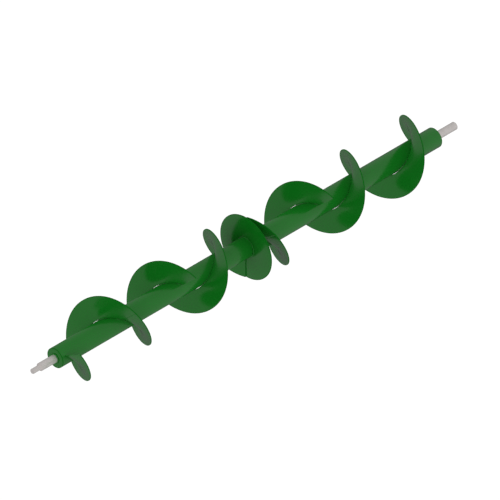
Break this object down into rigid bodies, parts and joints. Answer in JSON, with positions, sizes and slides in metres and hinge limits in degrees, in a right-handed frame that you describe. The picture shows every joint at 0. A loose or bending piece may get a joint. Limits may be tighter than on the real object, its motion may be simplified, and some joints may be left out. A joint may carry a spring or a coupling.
{
  "type": "soil auger",
  "caption": "Welded cross auger: hollow core tube with left-hand and right-hand helical flights, a centre disc, and a turned stub shaft at each end.",
  "frame": {"origin": "on the spin axis, at the middle plane of the centre disc, which is also the middle of the core tube", "axes": "+X along the spin axis towards the plain right-hand stub shaft, with the stepped stub shaft at -X; +Z is the direction in which the right inner flight runs into the centre disc, and the left inner flight runs into it towards -Z"},
  "size_m": [1.7205, 0.208, 0.208],
  "materials": {
    "green_paint": "gloss",
    "turned_steel": "satin"
  },
  "bodies": {
    "root": {"centre_disc": "green_paint", "core_tube": "green_paint", "left_cap_weld": "green_paint", "left_closing_flight": "green_paint", "left_closing_flight_weld_1": "green_paint", "left_disc_weld": "green_paint", "left_end_cap": "green_paint", "left_inner_disc": "green_paint", "left_inner_flight": "green_paint", "left_inner_flight_weld_1": "green_paint", "left_inner_flight_weld_2": "green_paint", "left_inner_flight_weld_3": "green_paint", "left_outer_flight_1": "green_paint", "left_outer_flight_1_weld_1": "green_paint", "left_outer_flight_1_weld_2": "green_paint", "left_outer_flight_1_weld_3": "green_paint", "left_outer_flight_2": "green_paint", "left_outer_flight_2_weld_1": "green_paint", "left_outer_flight_2_weld_2": "green_paint", "left_outer_flight_2_weld_3": "green_paint", "left_shaft_weld": "green_paint", "left_stub_shaft": "turned_steel", "right_cap_weld": "green_paint", "right_closing_flight": "green_paint", "right_closing_flight_weld_1": "green_paint", "right_disc_weld": "green_paint", "right_end_cap": "green_paint", "right_inner_disc": "green_paint", "right_inner_flight": "green_paint", "right_inner_flight_weld_1": "green_paint", "right_inner_flight_weld_2": "green_paint", "right_inner_flight_weld_3": "green_paint", "right_outer_flight_1": "green_paint", "right_outer_flight_1_weld_1": "green_paint", "right_outer_flight_1_weld_2": "green_paint", "right_outer_flight_1_weld_3": "green_paint", "right_outer_flight_2": "green_paint", "right_outer_flight_2_weld_1": "green_paint", "right_outer_flight_2_weld_2": "green_paint", "right_outer_flight_2_weld_3": "green_paint", "right_shaft_weld": "green_paint", "right_stub_shaft": "turned_steel"}
  },
  "joints": []
}
